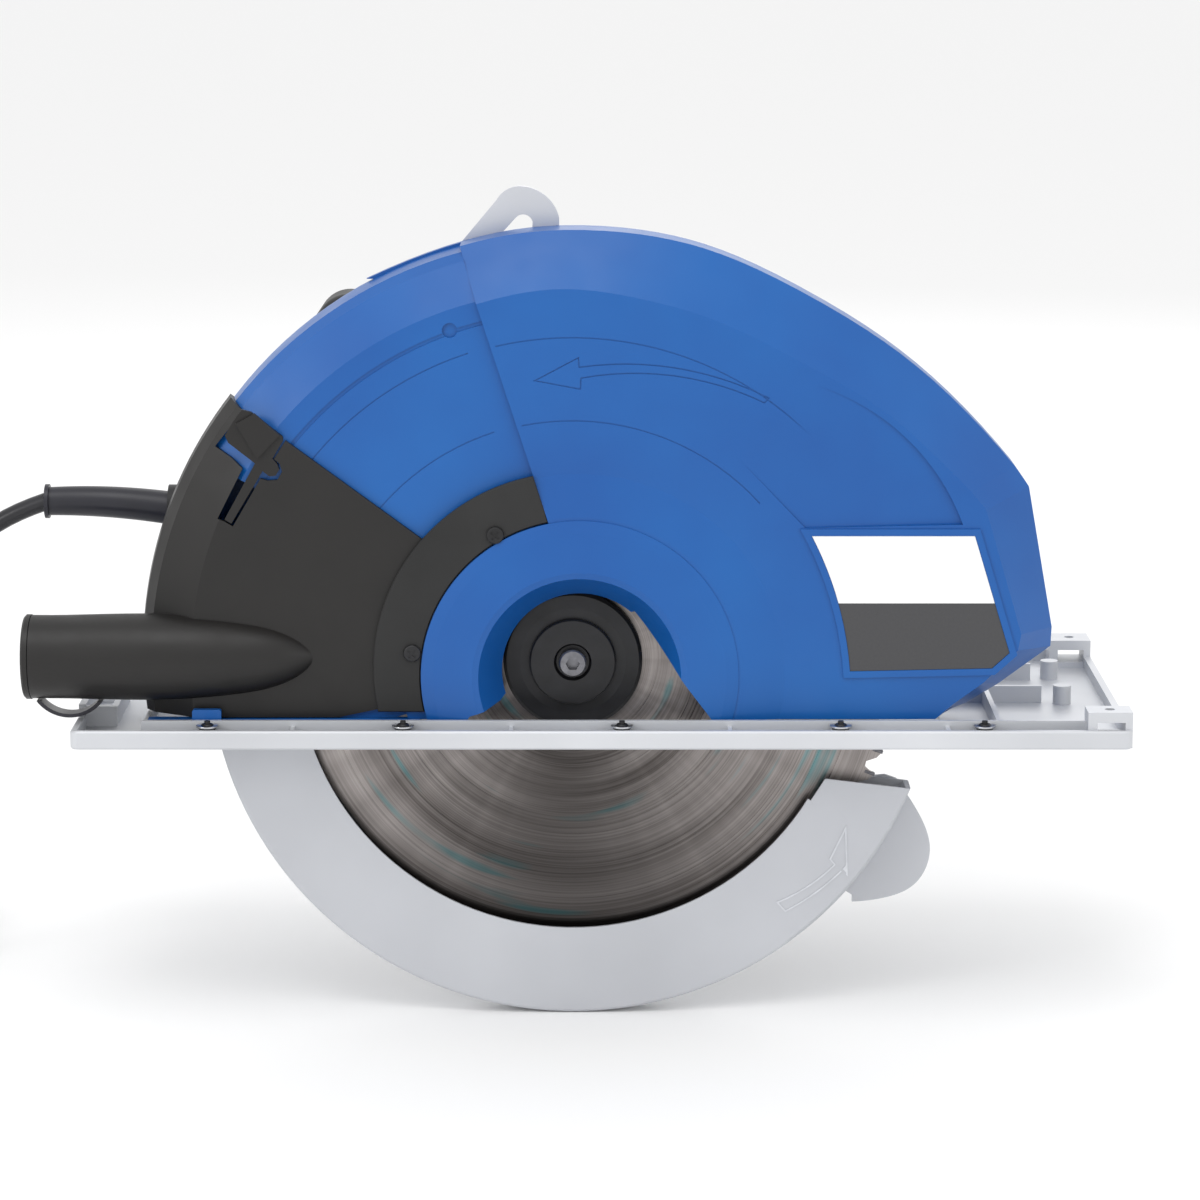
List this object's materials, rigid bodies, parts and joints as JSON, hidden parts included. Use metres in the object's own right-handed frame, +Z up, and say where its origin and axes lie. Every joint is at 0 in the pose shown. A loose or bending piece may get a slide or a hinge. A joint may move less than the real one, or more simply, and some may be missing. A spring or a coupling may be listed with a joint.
{
  "type": "circular saw",
  "caption": "Large corded hand-held circular saw with ribbed sole plate, blue blade cover, swinging lower guard, chip door with ejection tube, motor, handles and lifting eye.",
  "frame": {"origin": "on the underside of the sole plate, straight below the blade's axis and in the blade's mid plane", "axes": "+X forward in the direction of the cut, +Y towards the motor, +Z up"},
  "size_m": [0.735, 0.266, 0.4074],
  "materials": {
    "cast_aluminium": "satin casting",
    "blue_paint": "satin moulded blue",
    "case_blue": "satin blue",
    "door_black": "fine grained",
    "door_clip_blue": "moulded",
    "black_rubber": "smooth rubber",
    "label_print": "printed foil",
    "blade_steel": "ground in circles",
    "black_steel": "black oxide",
    "bright_steel": "zinc plated",
    "machined_steel": "machined",
    "copper": "enamelled wire",
    "guard_paint": "silver grey paint",
    "white_print": "printed",
    "gearbox_casting": "satin casting",
    "motor_blue": "moulded",
    "motor_black": "moulded",
    "carbon": "pressed carbon",
    "handle_black": "fine grained",
    "control_plastic": "moulded"
  },
  "bodies": {
    "housing": {"base_plate": "cast_aluminium", "front_cover": "blue_paint", "spindle_shroud": "blue_paint", "back_case": "case_blue", "door_retainer": "door_black", "door_clip": "door_clip_blue", "strain_relief": "black_rubber", "cord": "black_rubber", "cord_coil": "black_rubber", "plug": "black_rubber", "rating_label": "label_print", "retainer_screws": "black_steel", "sole_studs": "black_steel", "base_bolts": "bright_steel", "cover_screws": "bright_steel", "eye_bolts": "bright_steel", "gearbox_screws": "bright_steel", "end_cap_screws": "bright_steel", "handle_screws": "bright_steel", "guard_retainer": "bright_steel", "guard_spring": "bright_steel", "front_handle_bolt": "bright_steel", "plug_pins": "bright_steel", "stator": "machined_steel", "bearings": "machined_steel", "field_coils": "copper", "lifting_eye": "guard_paint", "gear_housing": "gearbox_casting", "bearing_plate": "gearbox_casting", "motor_housing": "motor_blue", "motor_end_cap": "motor_black", "brush_caps": "motor_black", "brush_holders": "motor_black", "switch_body": "motor_black", "carbon_brushes": "carbon", "handle_near": "handle_black", "handle_far": "handle_black", "front_handle": "handle_black"},
    "blade_set": {"spindle": "machined_steel", "spindle_gear": "machined_steel", "inner_flange": "black_steel", "outer_flange": "black_steel", "blade_bolt": "bright_steel", "blade": "blade_steel"},
    "countershaft": {"layshaft": "machined_steel"},
    "armature": {"armature_shaft": "machined_steel", "armature_core": "machined_steel", "armature_windings": "copper", "commutator": "copper", "cooling_fan": "motor_black"},
    "guard": {"lower_guard": "guard_paint", "guard_fin": "guard_paint", "guard_arrow": "white_print"},
    "door": {"chip_door": "door_black", "cap_strap": "black_rubber"},
    "latch": {"door_latch": "door_black"},
    "cap": {"outlet_cap": "door_black"},
    "trigger_body": {"trigger": "control_plastic"},
    "lock_off": {"lock_off_button": "control_plastic"},
    "lock_pin": {"spindle_lock": "bright_steel"}
  },
  "joints": [
    {"name": "blade_spin", "type": "hinge", "parent": "housing", "child": "blade_set", "pos_m": [0, 0, 0.035], "axis": [0, 1, 0], "continuous": true},
    {"name": "countershaft_spin", "type": "hinge", "parent": "housing", "child": "countershaft", "pos_m": [0, 0, 0.0675], "axis": [0, 1, 0], "continuous": true},
    {"name": "armature_spin", "type": "hinge", "parent": "housing", "child": "armature", "pos_m": [0, 0, 0.0885], "axis": [0, 1, 0], "continuous": true},
    {"name": "guard_swing", "type": "hinge", "parent": "housing", "child": "guard", "pos_m": [0, 0, 0.035], "axis": [0, 1, 0], "range_deg": [0, 120], "stiffness_Nm_per_rad": 0.5, "springref_deg": -68.75},
    {"name": "door_swing", "type": "hinge", "parent": "housing", "child": "door", "pos_m": [0, 0, 0.035], "axis": [0, 1, 0], "range_deg": [0, 36]},
    {"name": "latch_flex", "type": "hinge", "parent": "door", "child": "latch", "pos_m": [-0.1655, -0.026, 0.1072], "axis": [0, 1, 0], "range_deg": [-3, 0], "stiffness_Nm_per_rad": 0.6, "springref_deg": 5.73},
    {"name": "cap_pull", "type": "slide", "parent": "door", "child": "cap", "axis": [-1, 0, 0], "range_m": [0, 0.025]},
    {"name": "trigger_press", "type": "slide", "parent": "housing", "child": "trigger_body", "axis": [-0.8287, 0, 0.5597], "range_m": [0, 0.006], "stiffness_N_per_m": 500, "springref_m": -0.006},
    {"name": "lock_off_press", "type": "slide", "parent": "housing", "child": "lock_off", "axis": [0, -1, 0], "range_m": [0, 0.0035], "stiffness_N_per_m": 600, "springref_m": -0.004},
    {"name": "lock_pin_press", "type": "slide", "parent": "housing", "child": "lock_pin", "axis": [0, -1, 0], "range_m": [0, 0.005], "stiffness_N_per_m": 700, "springref_m": -0.004}
  ],
  "couplings": [
    {"joint": "countershaft_spin", "follows": "blade_spin", "ratio": -3},
    {"joint": "armature_spin", "follows": "blade_spin", "ratio": 9.6}
  ]
}
